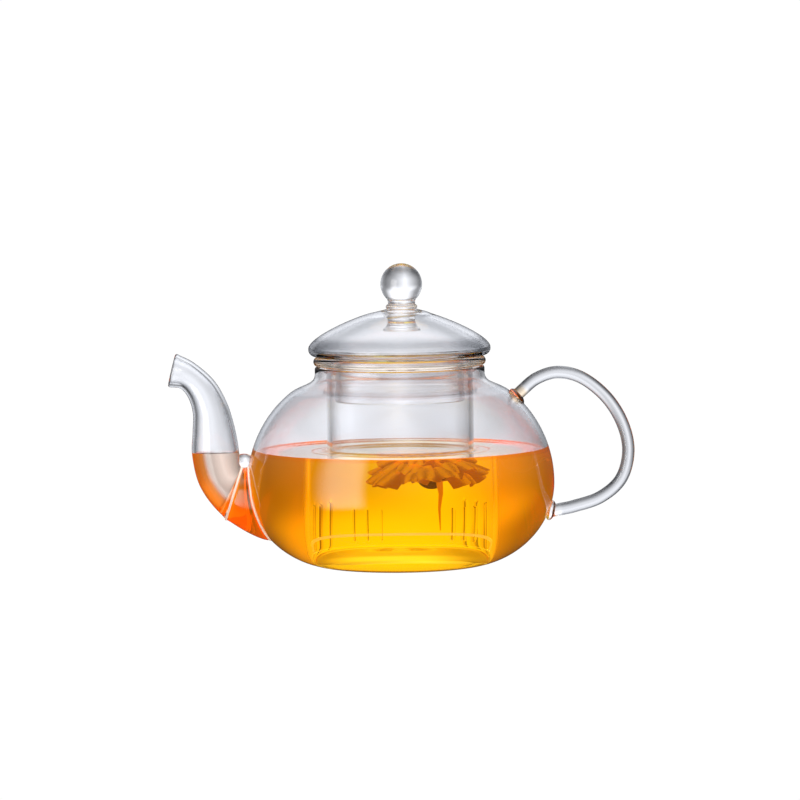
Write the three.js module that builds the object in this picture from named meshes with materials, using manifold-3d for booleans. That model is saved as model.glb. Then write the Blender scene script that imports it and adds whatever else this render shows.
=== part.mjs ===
// A blown borosilicate glass teapot. The pot is a round bowl with a swan-neck spout and an ear handle.
// A slotted infuser hangs in its neck by a thick flange, and a domed lid with a ball knob rests on that.
// Millimetres, +Z up. The origin is the centre of the bowl's flat foot. The spout points to -X and the
// handle to +X. Pieces that are fused in the flame are separate solids, a small gap apart.

import * as THREE from "three";
import { mergeVertices } from "three/addons/utils/BufferGeometryUtils.js";
import Module from "manifold-3d";

const wasm = await Module();
wasm.setup();

// Driving dimensions

const GAP = 0.3; // between fused or resting pieces
const WIDE_STEPS = 36; // round the bowl, the infuser and the lid
const NARROW_STEPS = 20; // round the knob
const CURVE_STEPS = 5; // points on each curved stretch of a wide outline
const KNOB_CURVE_STEPS = 4;

const BOWL = {
  wall: 2,
  footRadius: 33,
  bellyRadius: 70,
  bellyHeight: 38,
  shoulderRadius: 50,
  shoulderHeight: 79.5,
  neckRadius: 38.7,
  neckHeight: 88,
  rimHeight: 91.2,
};

// The spout's outline in the plane of the handle, from inside the bowl to the lip. Each station is a round
// section of the outside that runs from its upper point, nearer the bowl, to its lower point: [x, z].
const SPOUT = {
  wall: 1.9,
  stations: [
    { upper: [-60, 47.5], lower: [-53, 15] },
    { upper: [-68.8, 46.4], lower: [-62.6, 12.6] },
    { upper: [-72.4, 46], lower: [-80, 22.4] },
    { upper: [-73.4, 50.4], lower: [-91.2, 36.2] },
    { upper: [-74.3, 57.5], lower: [-95.1, 51] },
    { upper: [-76, 66], lower: [-94.8, 61.8] },
    { upper: [-79, 75.6], lower: [-94.5, 70.3] },
    { upper: [-84.6, 85.6], lower: [-96.2, 77.2] },
    { upper: [-93.3, 93.6], lower: [-99.8, 82] },
    { upper: [-101.2, 97.9], lower: [-104.9, 82.8] },
  ],
  jointStation: 2, // the cone ends and the tube starts here
  ringsPerStation: 2,
  ledge: 1.2, // the hole in the bowl is this much smaller than the cone's bore
  sides: 16,
};
const BRIDGE = { x: -71.6, z: 48.6, halfWidth: 5, halfDepth: 4.2, halfHeight: 3.4 };

const HANDLE = {
  radius: 2.85,
  centreLine: [
    [55.4, 79],
    [62.5, 84.9],
    [72, 87.6],
    [83, 84.9],
    [94, 76],
    [101.3, 64],
    [103.9, 51],
    [100.4, 38.4],
    [91, 30.2],
    [79, 26.2],
    [71.6, 24.7],
  ],
  steps: 30,
};
const UPPER_WELD = { x: 53.8, z: 76.8, lean: 52, radius: 4.9, halfHeight: 3.4 };
const LOWER_WELD = { x: 69, z: 24.6, lean: 104, radius: 5.6, halfHeight: 3 };

const INFUSER = {
  wall: 2,
  radius: 33.5,
  baseHeight: 12, // the underside of the thick base
  baseEdgeRadius: 3.5,
  baseRimHeight: 4, // the base is as wide as the tube up to here, and a plug in the tube above it
  baseThickness: 6.5,
  flangeRadius: 39.3,
  flangeHeight: 4.2,
};
const SLITS = {
  groupAngles: [-24, 47, 133, 233], // degrees round from the front
  perGroup: 3,
  spacing: 10, // degrees
  width: 0.9,
  lowest: 20.9,
  length: 10,
};

const LID = {
  wall: 2.2,
  crownHeight: 117.7,
  edgeRadius: 41.4,
  edgeHeight: 100.3,
  foldRadius: 37.6,
  skirtRadius: 29.5,
  skirtLength: 20.3,
};
// The knob was set by hand, a little off the lid's axis.
const KNOB = {
  offCentre: 1.2,
  ballRadius: 9.5,
  ballHeight: 128.6,
  neckRadius: 6.2,
  collarRadius: 6.9,
  collarHeight: 1.2,
  stubTopRadius: 6,
  stubFlareRadius: 8.4,
  stubDrop: 1.9, // its rim clears the falling underside of the dome
  stubLength: 6.5,
};

// Heights that follow from the dimensions above

const FLANGE_BOTTOM = BOWL.rimHeight + GAP;
const FLANGE_TOP = FLANGE_BOTTOM + INFUSER.flangeHeight;
const LID_UNDERSIDE = FLANGE_TOP + GAP;

// Solids: three.js geometry to manifold-3d and back

function manifoldOf(positions, triangles) {
  return new wasm.Manifold(
    new wasm.Mesh({ numProp: 3, vertProperties: positions, triVerts: triangles }),
  );
}

// Turns the faces outwards where the outline ran the other way round.
function solidOf(geometry) {
  const bare = geometry.clone();
  bare.deleteAttribute("normal");
  bare.deleteAttribute("uv");
  const merged = mergeVertices(bare, 1e-4);
  const positions = merged.attributes.position.array;
  const triangles = new Uint32Array(merged.index.array);
  const made = manifoldOf(positions, triangles);
  return made.volume() < 0 ? manifoldOf(positions, triangles.reverse()) : made;
}

function geometryOf(solid) {
  const mesh = solid.getMesh();
  const geometry = new THREE.BufferGeometry();
  geometry.setAttribute("position", new THREE.BufferAttribute(mesh.vertProperties, 3));
  geometry.setIndex(new THREE.BufferAttribute(mesh.triVerts, 1));
  geometry.computeVertexNormals();
  return geometry;
}

function glass(color) {
  return new THREE.MeshStandardMaterial({
    color,
    roughness: 0.03,
    metalness: 0,
    transparent: true,
    opacity: 0.4,
  });
}

function addPiece(group, name, solid, material) {
  const mesh = new THREE.Mesh(geometryOf(solid), material);
  mesh.name = name;
  group.add(mesh);
}

// Outlines: radius across, height up

function offsetOutline(outline, distance) {
  return outline.map((point, i) => {
    const before = outline[Math.max(i - 1, 0)];
    const after = outline[Math.min(i + 1, outline.length - 1)];
    const along = after.clone().sub(before).normalize();
    return new THREE.Vector2(
      Math.max(point.x - along.y * distance, 0),
      point.y + along.x * distance,
    );
  });
}

// A solid of revolution about Z from a closed profile, or from one that starts and ends on the axis.
function turned(profile, steps = WIDE_STEPS) {
  return solidOf(new THREE.LatheGeometry(profile, steps).rotateX(Math.PI / 2));
}

// A wall of even thickness, on the left of the outline where the thickness is positive.
function turnedWall(outline, thickness, steps) {
  const profile = [...outline, ...offsetOutline(outline, thickness).reverse()];
  if (outline[0].x > 0) profile.push(outline[0].clone());
  return turned(profile, steps);
}

function ring(innerRadius, outerRadius, bottom, top) {
  const corners = [
    [innerRadius, bottom],
    [outerRadius, bottom],
    [outerRadius, top],
    [innerRadius, top],
    [innerRadius, bottom],
  ];
  return turned(corners.map(([x, y]) => new THREE.Vector2(x, y)));
}

// Bowl

function bowlOutline() {
  const { footRadius, bellyRadius, bellyHeight, shoulderRadius, shoulderHeight } = BOWL;
  const { neckRadius, neckHeight, rimHeight } = BOWL;
  const outline = new THREE.Path();
  outline.moveTo(0, 0);
  outline.lineTo(footRadius, 0);
  outline.bezierCurveTo(52, 1, bellyRadius, 17, bellyRadius, bellyHeight);
  outline.bezierCurveTo(bellyRadius, 56, 61, 71, shoulderRadius, shoulderHeight);
  outline.bezierCurveTo(45, 83.3, neckRadius, 83, neckRadius, neckHeight);
  outline.lineTo(neckRadius, rimHeight);
  return outline.getPoints(CURVE_STEPS);
}

// The bowl as a full solid, grown by a margin, for trimming what is fused to it.
function bowlBlank(margin) {
  const outline = offsetOutline(bowlOutline(), -margin);
  return turned([...outline, new THREE.Vector2(0, BOWL.rimHeight)]);
}

// Spout

function spoutEdge(side) {
  return new THREE.CatmullRomCurve3(
    SPOUT.stations.map((station) => new THREE.Vector3(station[side][0], 0, station[side][1])),
  );
}

const spoutUpper = spoutEdge("upper");
const spoutLower = spoutEdge("lower");

// Bends a lathe whose height is a share of the spout's length, so that its rings follow the stations.
function bentAlongSpout(profile) {
  const geometry = new THREE.LatheGeometry(profile, SPOUT.sides);
  const position = geometry.attributes.position;
  for (let i = 0; i < position.count; i++) {
    const upper = spoutUpper.getPoint(position.getY(i));
    const lower = spoutLower.getPoint(position.getY(i));
    const across = upper.clone().sub(lower).normalize();
    const place = upper.add(lower).multiplyScalar(0.5);
    place.addScaledVector(across, position.getX(i));
    place.y = position.getZ(i);
    position.setXYZ(i, place.x, place.y, place.z);
  }
  return solidOf(geometry);
}

// The spout's outline from one station to another, as radius across and share of its length up.
function spoutOutline(from, to, margin) {
  const last = SPOUT.stations.length - 1;
  const steps = Math.ceil((to - from) * SPOUT.ringsPerStation);
  return Array.from({ length: steps + 1 }, (_, i) => {
    const share = (from + ((to - from) * i) / steps) / last;
    const radius = spoutUpper.getPoint(share).distanceTo(spoutLower.getPoint(share)) / 2;
    return new THREE.Vector2(radius + margin, share);
  });
}

function spoutWall(from, to) {
  const outside = spoutOutline(from, to, 0);
  const inside = spoutOutline(from, to, -SPOUT.wall).reverse();
  return bentAlongSpout([...outside, ...inside, outside[0].clone()]);
}

function spoutCore(from, to, margin) {
  const outside = spoutOutline(from, to, margin);
  const start = new THREE.Vector2(0, outside[0].y);
  const end = new THREE.Vector2(0, outside[outside.length - 1].y);
  return bentAlongSpout([start, ...outside, end]);
}

// Handle

const handleCentreLine = new THREE.CatmullRomCurve3(
  HANDLE.centreLine.map(([x, z]) => new THREE.Vector3(x, 0, z)),
);

function alongHandle(radius) {
  const section = new THREE.Shape().absarc(0, 0, radius, 0, 2 * Math.PI);
  return solidOf(
    new THREE.ExtrudeGeometry(section, {
      steps: HANDLE.steps,
      curveSegments: 4,
      extrudePath: handleCentreLine,
    }),
  );
}

// A flattened bead of glass. lean is the angle of its short axis from upright, towards +X.
function bead({ x, z, lean, radius, halfHeight }) {
  const geometry = new THREE.SphereGeometry(radius, 12, 8);
  geometry.scale(1, 1, halfHeight / radius);
  geometry.rotateY(THREE.MathUtils.degToRad(lean));
  geometry.translate(x, 0, z);
  return solidOf(geometry);
}

function makePot() {
  const pot = new THREE.Group();
  const material = glass(0xe4e8ec);
  const lip = SPOUT.stations.length - 1;
  const joint = SPOUT.jointStation;
  const bowlMargin = bowlBlank(GAP);

  const hole = spoutCore(0, joint, -SPOUT.wall - SPOUT.ledge);
  addPiece(pot, "pot_bowl", turnedWall(bowlOutline(), BOWL.wall).subtract(hole), material);

  const cone = spoutWall(0, joint - 0.02).subtract(bowlMargin);
  addPiece(pot, "spout_cone", cone, material);
  addPiece(pot, "spout_tube", spoutWall(joint + 0.03, lip), material);

  const bridgeBlank = new THREE.SphereGeometry(1, 12, 8);
  bridgeBlank.scale(BRIDGE.halfWidth, BRIDGE.halfDepth, BRIDGE.halfHeight);
  bridgeBlank.translate(BRIDGE.x, 0, BRIDGE.z);
  const bridge = solidOf(bridgeBlank)
    .subtract(bowlMargin)
    .subtract(spoutCore(0, lip, GAP));
  addPiece(pot, "spout_bridge", bridge, material);

  const handleMargin = alongHandle(HANDLE.radius + GAP);
  addPiece(pot, "handle_tube", alongHandle(HANDLE.radius), material);
  const welds = { handle_upper_weld: UPPER_WELD, handle_lower_weld: LOWER_WELD };
  for (const [name, place] of Object.entries(welds)) {
    const weld = bead(place).subtract(bowlMargin).subtract(handleMargin);
    addPiece(pot, name, weld, material);
  }
  return pot;
}

// Infuser

function flangeRing() {
  const innerRadius = INFUSER.radius - INFUSER.wall;
  const round = INFUSER.flangeHeight / 2;
  const outline = new THREE.Path();
  outline.moveTo(innerRadius, FLANGE_BOTTOM);
  outline.lineTo(INFUSER.flangeRadius - round, FLANGE_BOTTOM);
  outline.absarc(
    INFUSER.flangeRadius - round,
    FLANGE_BOTTOM + round,
    round,
    -Math.PI / 2,
    Math.PI / 2,
  );
  outline.lineTo(innerRadius, FLANGE_TOP);
  outline.lineTo(innerRadius, FLANGE_BOTTOM);
  return turned(outline.getPoints(3));
}

function slit(angle) {
  const reach = 2 * INFUSER.wall;
  const geometry = new THREE.BoxGeometry(SLITS.width, 2 * reach, SLITS.length);
  geometry.translate(0, -INFUSER.radius, SLITS.lowest + SLITS.length / 2);
  geometry.rotateZ(THREE.MathUtils.degToRad(angle));
  return solidOf(geometry);
}

function slottedTube(bottom) {
  let tube = ring(INFUSER.radius - INFUSER.wall, INFUSER.radius, bottom, BOWL.rimHeight);
  for (const groupAngle of SLITS.groupAngles) {
    for (let i = 0; i < SLITS.perGroup; i++) {
      const step = i - (SLITS.perGroup - 1) / 2;
      tube = tube.subtract(slit(groupAngle + step * SLITS.spacing));
    }
  }
  return tube;
}

function base() {
  const { radius, wall, baseHeight, baseEdgeRadius, baseRimHeight, baseThickness } = INFUSER;
  const plugRadius = radius - wall - GAP;
  const outline = new THREE.Path();
  outline.moveTo(0, baseHeight);
  outline.lineTo(radius - baseEdgeRadius, baseHeight);
  outline.absarc(
    radius - baseEdgeRadius,
    baseHeight + baseEdgeRadius,
    baseEdgeRadius,
    -Math.PI / 2,
    0,
  );
  outline.lineTo(radius, baseHeight + baseRimHeight);
  outline.lineTo(plugRadius, baseHeight + baseRimHeight);
  outline.lineTo(plugRadius, baseHeight + baseThickness);
  outline.lineTo(0, baseHeight + baseThickness);
  return turned(outline.getPoints(3));
}

function makeInfuser() {
  const infuser = new THREE.Group();
  const material = glass(0xdfe4e8);
  const tubeBottom = INFUSER.baseHeight + INFUSER.baseRimHeight + GAP;
  addPiece(infuser, "infuser_flange", flangeRing(), material);
  addPiece(infuser, "infuser_tube", slottedTube(tubeBottom), material);
  addPiece(infuser, "infuser_floor", base(), material);
  return infuser;
}

// Lid

function domeWall() {
  const { crownHeight, edgeRadius, edgeHeight, foldRadius } = LID;
  const outline = new THREE.Path();
  outline.moveTo(0, crownHeight);
  outline.bezierCurveTo(20, 114.4, 39.6, 105.6, edgeRadius, edgeHeight);
  outline.bezierCurveTo(42, 98, 40.6, LID_UNDERSIDE, foldRadius, LID_UNDERSIDE);
  outline.lineTo(LID.skirtRadius - LID.wall, LID_UNDERSIDE);
  return turnedWall(outline.getPoints(CURVE_STEPS), -LID.wall);
}

// Turned about the knob's own axis.
function turnedKnob(profile) {
  return turned(profile, NARROW_STEPS).translate([KNOB.offCentre, 0, 0]);
}

function knobBall(bottom) {
  const { ballRadius, ballHeight, neckRadius } = KNOB;
  const throat = -Math.PI / 2 + Math.asin((neckRadius + 0.4) / ballRadius);
  const outline = new THREE.Path();
  outline.absarc(0, ballHeight, ballRadius, Math.PI / 2, throat, true);
  outline.lineTo(neckRadius, bottom);
  outline.lineTo(0, bottom);
  return turnedKnob(outline.getPoints(KNOB_CURVE_STEPS));
}

function knobCollar(bottom) {
  const corners = [
    [0, bottom],
    [KNOB.collarRadius, bottom],
    [KNOB.collarRadius, bottom + KNOB.collarHeight],
    [0, bottom + KNOB.collarHeight],
  ];
  return turnedKnob(corners.map(([x, y]) => new THREE.Vector2(x, y)));
}

function knobStub(top) {
  const { stubTopRadius, stubFlareRadius, stubLength } = KNOB;
  const outline = new THREE.Path();
  outline.moveTo(0, top);
  outline.lineTo(stubTopRadius, top);
  outline.quadraticCurveTo(
    stubTopRadius,
    top - stubLength * 0.6,
    stubFlareRadius,
    top - stubLength,
  );
  outline.lineTo(0, top - stubLength);
  return turnedKnob(outline.getPoints(3));
}

function makeLid() {
  const lid = new THREE.Group();
  const material = glass(0xe8ecf0);
  const skirtTop = LID_UNDERSIDE - GAP;
  const skirtInside = LID.skirtRadius - LID.wall;
  const collarBottom = LID.crownHeight + GAP;
  const collarTop = collarBottom + KNOB.collarHeight;
  const stubTop = LID.crownHeight - LID.wall - KNOB.stubDrop;
  addPiece(lid, "lid_dome", domeWall(), material);
  addPiece(
    lid,
    "lid_skirt",
    ring(skirtInside, LID.skirtRadius, skirtTop - LID.skirtLength, skirtTop),
    material,
  );
  addPiece(lid, "knob_collar", knobCollar(collarBottom), material);
  addPiece(lid, "lid_knob", knobBall(collarTop + GAP), material);
  addPiece(lid, "knob_stub", knobStub(stubTop), material);
  return lid;
}

const teapot = new THREE.Group();
teapot.add(makePot(), makeInfuser(), makeLid());

export default teapot;
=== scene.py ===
"""A glass teapot with a lift-out infuser, half full of flower tea, on a plain white table."""

import math

import bmesh
import bpy
import numpy as np
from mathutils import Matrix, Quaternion, Vector
from mathutils.bvhtree import BVHTree


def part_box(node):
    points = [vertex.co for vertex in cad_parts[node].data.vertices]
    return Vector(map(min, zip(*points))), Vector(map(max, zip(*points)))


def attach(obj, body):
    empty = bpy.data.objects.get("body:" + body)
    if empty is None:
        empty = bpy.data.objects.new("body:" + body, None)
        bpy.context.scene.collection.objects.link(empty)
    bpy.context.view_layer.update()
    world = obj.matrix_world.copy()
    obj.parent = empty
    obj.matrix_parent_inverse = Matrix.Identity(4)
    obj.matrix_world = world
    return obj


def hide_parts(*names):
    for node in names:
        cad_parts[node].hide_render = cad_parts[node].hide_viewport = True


MM = 0.001

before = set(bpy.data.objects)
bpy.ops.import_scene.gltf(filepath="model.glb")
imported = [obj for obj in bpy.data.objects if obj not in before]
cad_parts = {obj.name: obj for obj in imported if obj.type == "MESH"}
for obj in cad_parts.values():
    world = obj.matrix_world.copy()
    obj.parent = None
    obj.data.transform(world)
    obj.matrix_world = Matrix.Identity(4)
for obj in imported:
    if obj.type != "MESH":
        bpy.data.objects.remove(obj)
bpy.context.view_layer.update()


# ---------------------------------------------------------------- frame sizes, in millimetres


def box_mm(node):
    """The lowest and highest corner of a CAD node, in millimetres."""
    low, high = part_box(node)
    return [c / MM for c in low], [c / MM for c in high]


_, bowl_high = box_mm("pot_bowl")
flange_low, flange_high = box_mm("infuser_flange")
floor_low, floor_high = box_mm("infuser_floor")
dome_low, _ = box_mm("lid_dome")
skirt_low, skirt_high = box_mm("lid_skirt")
_, knob_high = box_mm("lid_knob")

BELLY_RADIUS = bowl_high[1]
RIM_HEIGHT = bowl_high[2]
BELLY_HEIGHT = 38
NECK_RADIUS = 38.7
NECK_HEIGHT = 88
POT_WALL = 2.0
TEA_LEVEL = 52.8
TEA_CLIMB = 1.2  # how far the tea climbs a wall
INFUSER_RADIUS = floor_high[0]
INFUSER_WALL = 2.0
FLOOR_HEIGHT = floor_low[2]
FLOOR_TOP = floor_high[2]
FOOT_EDGE_RADIUS = 3.5
SLIT_LOW = 21.2  # the centres of a slit's round ends
SLIT_HIGH = 30.6
SLIT_GROUPS = (-24, 47, 133, 233)  # degrees round from the front
SLIT_SPACING = 10
SLIT_HALF_WIDTH = 0.45
FOOT_WELD_RADIUS = INFUSER_RADIUS - INFUSER_WALL - 0.5
FOOT_WELD_HALF = 0.4
FOOT_WELD_HEIGHT = 22.8
GLASS_IOR = 1.47
TEA_IOR = 1.333


# ---------------------------------------------------------------- mesh building


def make_piece(name, vertices, faces, smooth=True):
    """A mesh object from vertices in millimetres."""
    mesh = bpy.data.meshes.new(name)
    mesh.from_pydata([tuple(c * MM for c in v) for v in vertices], [], faces)
    mesh.update()
    if smooth:
        mesh.shade_smooth()
    piece = bpy.data.objects.new(name, mesh)
    bpy.context.scene.collection.objects.link(piece)
    return piece


def cubic(start, first, second, end, steps=24):
    """Points along a cubic curve, without its start."""
    points = []
    for i in range(1, steps + 1):
        t = i / steps
        u = 1 - t
        points.append(
            tuple(
                u**3 * a + 3 * u * u * t * b + 3 * u * t * t * c + t**3 * d
                for a, b, c, d in zip(start, first, second, end)
            )
        )
    return points


def arc(centre, radius, start, end, steps=12):
    """Points on an arc in the profile plane, angles in degrees from +r."""
    points = []
    for i in range(steps + 1):
        a = math.radians(start + (end - start) * i / steps)
        points.append((centre[0] + radius * math.cos(a), centre[1] + radius * math.sin(a)))
    return points


def offset(profile, distance):
    """The profile moved to its left by a distance."""
    moved = []
    for i, point in enumerate(profile):
        before = profile[max(i - 1, 0)]
        after = profile[min(i + 1, len(profile) - 1)]
        dx, dy = after[0] - before[0], after[1] - before[1]
        length = math.hypot(dx, dy)
        moved.append((max(point[0] - dy / length * distance, 0), point[1] + dx / length * distance))
    return moved


def evened(profile, step):
    """The profile with points about a step apart."""
    points = np.array(profile, dtype=float)
    lengths = np.concatenate([[0], np.cumsum(np.hypot(*np.diff(points, axis=0).T))])
    count = max(2, round(lengths[-1] / step))
    at = np.linspace(0, lengths[-1], count + 1)
    return list(zip(np.interp(at, lengths, points[:, 0]), np.interp(at, lengths, points[:, 1])))


def revolve(name, profile, segments=192):
    """A solid of revolution. The profile runs anticlockwise round the solid, or from axis to axis."""
    vertices, rows = [], []
    for r, z in profile:
        if r < 1e-6:
            rows.append([len(vertices)] * segments)
            vertices.append((0, 0, z))
            continue
        rows.append(list(range(len(vertices), len(vertices) + segments)))
        for s in range(segments):
            a = 2 * math.pi * s / segments
            vertices.append((r * math.cos(a), r * math.sin(a), z))
    on_axis = profile[0][0] < 1e-6
    faces = []
    pairs = list(zip(rows, rows[1:])) if on_axis else list(zip(rows, rows[1:] + rows[:1]))
    for below, above in pairs:
        for s in range(segments):
            t = (s + 1) % segments
            corners = [below[s], below[t], above[t], above[s]]
            face = list(dict.fromkeys(corners))
            if len(face) > 2:
                faces.append(face)
    return make_piece(name, vertices, faces)


def combine(piece, other, operation):
    """Joins, cuts or intersects a piece with another, which is used up."""
    modifier = piece.modifiers.new("combine", "BOOLEAN")
    modifier.operation = operation
    modifier.solver = "MANIFOLD"
    modifier.object = other
    graph = bpy.context.evaluated_depsgraph_get()
    made = bpy.data.meshes.new_from_object(piece.evaluated_get(graph))
    piece.modifiers.clear()
    piece.data = made
    bpy.data.objects.remove(other)
    made.shade_smooth()


def block(low, high):
    """A box between two corners, in millimetres."""
    corners = [(x, y, z) for x in (low[0], high[0]) for y in (low[1], high[1]) for z in (low[2], high[2])]
    faces = [(0, 1, 3, 2), (4, 6, 7, 5), (0, 4, 5, 1), (2, 3, 7, 6), (0, 2, 6, 4), (1, 5, 7, 3)]
    piece = make_piece("block", corners, faces, smooth=False)
    turn_outwards(piece)
    return piece


def mark(piece, name, test):
    """Writes a number from 0 to 1 on each face, from its middle in millimetres and its normal."""
    layer = piece.data.attributes.new(name, "FLOAT", "FACE")
    values = [float(test(f.center / MM, f.normal)) for f in piece.data.polygons]
    layer.data.foreach_set("value", values)


def smooth_step(value, start, end):
    t = min(max((value - start) / (end - start), 0), 1)
    return t * t * (3 - 2 * t)


# ---------------------------------------------------------------- materials


def new_material(name):
    material = bpy.data.materials.new(name)
    material.use_nodes = True
    shader = material.node_tree.nodes["Principled BSDF"]
    return material, material.node_tree, shader


def choose(tree, factor, low, high):
    """A node that goes from one number to another as the factor goes from 0 to 1."""
    node = tree.nodes.new("ShaderNodeMapRange")
    node.inputs["To Min"].default_value = low
    node.inputs["To Max"].default_value = high
    tree.links.new(factor, node.inputs["Value"])
    return node.outputs[0]


def face_value(tree, name):
    node = tree.nodes.new("ShaderNodeAttribute")
    node.attribute_name = name
    return node.outputs["Fac"]


CLEAR = (0.985, 0.988, 0.995)
# Painted shade: the grey given to glass seen edge-on, and the darker grey for faces with a thick value.
EDGE_ON = (0.48, 0.515, 0.56)
THICK_CLEAR = (0.94, 0.945, 0.955)
THICK_EDGE_ON = (0.12, 0.13, 0.15)
THICK_SPREAD = 0.55
# Painted reflection of the tea's amber, on the handle's upper weld and the lower edge of the infuser's
# flange.
AMBER_REFLECTION = (0.93, 0.78, 0.6)
# Painted light on the tea's rim faces: a deeper orange and a glow.
RIM_LIGHT = (0.75, 0.25, 0.03)
RIM_GLOW = (1.0, 0.25, 0.005)
RIM_STRENGTH = 0.27
# A painted glow in the infuser's foot, under the tea.
FOOT_GLOW = (1.0, 0.66, 0.01)
FOOT_STRENGTH = 0.1


def glass_material(name, spread=3.0):
    """Clear glass with a painted shade: greyer where it is seen edge-on, the grey painted into its colour by
    the angle it is seen at.

    The painted grey keeps closer to the edge for a larger spread. Faces with a thick value, such as solid
    glass, get a darker painted shade that reaches much further in.
    """
    material, tree, shader = new_material(name)
    shader.inputs["Base Color"].default_value = (*CLEAR, 1)
    shader.inputs["Roughness"].default_value = 0
    shader.inputs["IOR"].default_value = GLASS_IOR
    shader.inputs["Transmission Weight"].default_value = 1
    # The painted shade follows how edge-on the glass is seen.
    facing = tree.nodes.new("ShaderNodeLayerWeight")
    facing.inputs["Blend"].default_value = 0.5
    steep = tree.nodes.new("ShaderNodeMath")
    steep.operation = "POWER"
    thick = face_value(tree, "thick")
    tree.links.new(choose(tree, thick, spread, THICK_SPREAD), steep.inputs[1])
    tree.links.new(facing.outputs["Facing"], steep.inputs[0])
    face_on = mix_colour(tree, thick, CLEAR, THICK_CLEAR)
    edge_on = mix_colour(tree, thick, EDGE_ON, THICK_EDGE_ON)
    shade = mix_colour(tree, steep.outputs[0], face_on, edge_on)
    tree.links.new(shade, shader.inputs["Base Color"])
    return material, tree, shader


def mix_colour(tree, factor, first, second):
    """A node that goes from one colour, or colour socket, to another."""
    node = tree.nodes.new("ShaderNodeMixRGB")
    tree.links.new(factor, node.inputs["Fac"])
    for socket, colour in (("Color1", first), ("Color2", second)):
        if isinstance(colour, tuple):
            node.inputs[socket].default_value = (*colour, 1)
        else:
            tree.links.new(colour, node.inputs[socket])
    return node.outputs[0]


def tint_where(tree, shader, where, colour):
    """Replaces the glass's own colour by another."""
    plain = shader.inputs["Base Color"].links[0].from_socket
    tree.links.new(mix_colour(tree, where, plain, colour), shader.inputs["Base Color"])


def wet_where(tree, shader, wet):
    """Where tea wets the glass, light bends only by the step from glass to tea."""
    ior = choose(tree, wet, GLASS_IOR, GLASS_IOR / TEA_IOR)
    tree.links.new(ior, shader.inputs["IOR"])


def pot_glass_material():
    """The pot: glass in front of tea has no painted edge shade, and the handle's upper weld has a painted
    reflection of the tea's amber.
    """
    material, tree, shader = glass_material("pot_glass", 1.6)
    wet_where(tree, shader, face_value(tree, "wet"))
    # The painted edge shade is left off where the glass is backed; the upper weld gets a painted reflection
    # of the tea's amber.
    tint_where(tree, shader, face_value(tree, "backed"), (1.0, 1.0, 1.0))
    tint_where(tree, shader, face_value(tree, "amber_reflection"), AMBER_REFLECTION)
    return material


def infuser_glass_material():
    """Clear glass that is under the tea up to the tea's level, wherever the infuser hangs, and there has no
    painted edge shade.

    The lower edge of its flange has a painted reflection of the tea's amber, and under the tea its foot has a
    painted glow.
    """
    material, tree, shader = glass_material("infuser_glass", 4.5)
    place = tree.nodes.new("ShaderNodeNewGeometry")
    split = tree.nodes.new("ShaderNodeSeparateXYZ")
    tree.links.new(place.outputs["Position"], split.inputs[0])
    under = tree.nodes.new("ShaderNodeMath")
    under.operation = "LESS_THAN"
    under.inputs[1].default_value = TEA_LEVEL * MM
    tree.links.new(split.outputs["Z"], under.inputs[0])
    wet_where(tree, shader, under.outputs[0])
    # Under the tea the painted edge shade is left off, and the flange's lower edge gets a painted reflection
    # of the tea's amber.
    tint_where(tree, shader, under.outputs[0], (1.0, 1.0, 1.0))
    tint_where(tree, shader, face_value(tree, "amber_reflection"), AMBER_REFLECTION)
    # Painted glow in the foot, under the tea.
    lit = tree.nodes.new("ShaderNodeMath")
    lit.operation = "MULTIPLY"
    tree.links.new(under.outputs[0], lit.inputs[0])
    tree.links.new(face_value(tree, "foot"), lit.inputs[1])
    shader.inputs["Emission Color"].default_value = (*FOOT_GLOW, 1)
    tree.links.new(choose(tree, lit.outputs[0], 0.0, FOOT_STRENGTH), shader.inputs["Emission Strength"])
    return material


def weld_material():
    """The milky thread of glass left by a weld, with a painted glow for its bright highlight."""
    material, tree, shader = new_material("weld_glass")
    shader.inputs["Base Color"].default_value = (0.9, 0.84, 0.78, 1)
    shader.inputs["Roughness"].default_value = 0.25
    shader.inputs["IOR"].default_value = GLASS_IOR
    shader.inputs["Transmission Weight"].default_value = 0.35
    # Painted glow, for the weld's bright highlight.
    shader.inputs["Emission Color"].default_value = (1, 0.8, 0.64, 1)
    shader.inputs["Emission Strength"].default_value = 0.4
    return material


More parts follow.
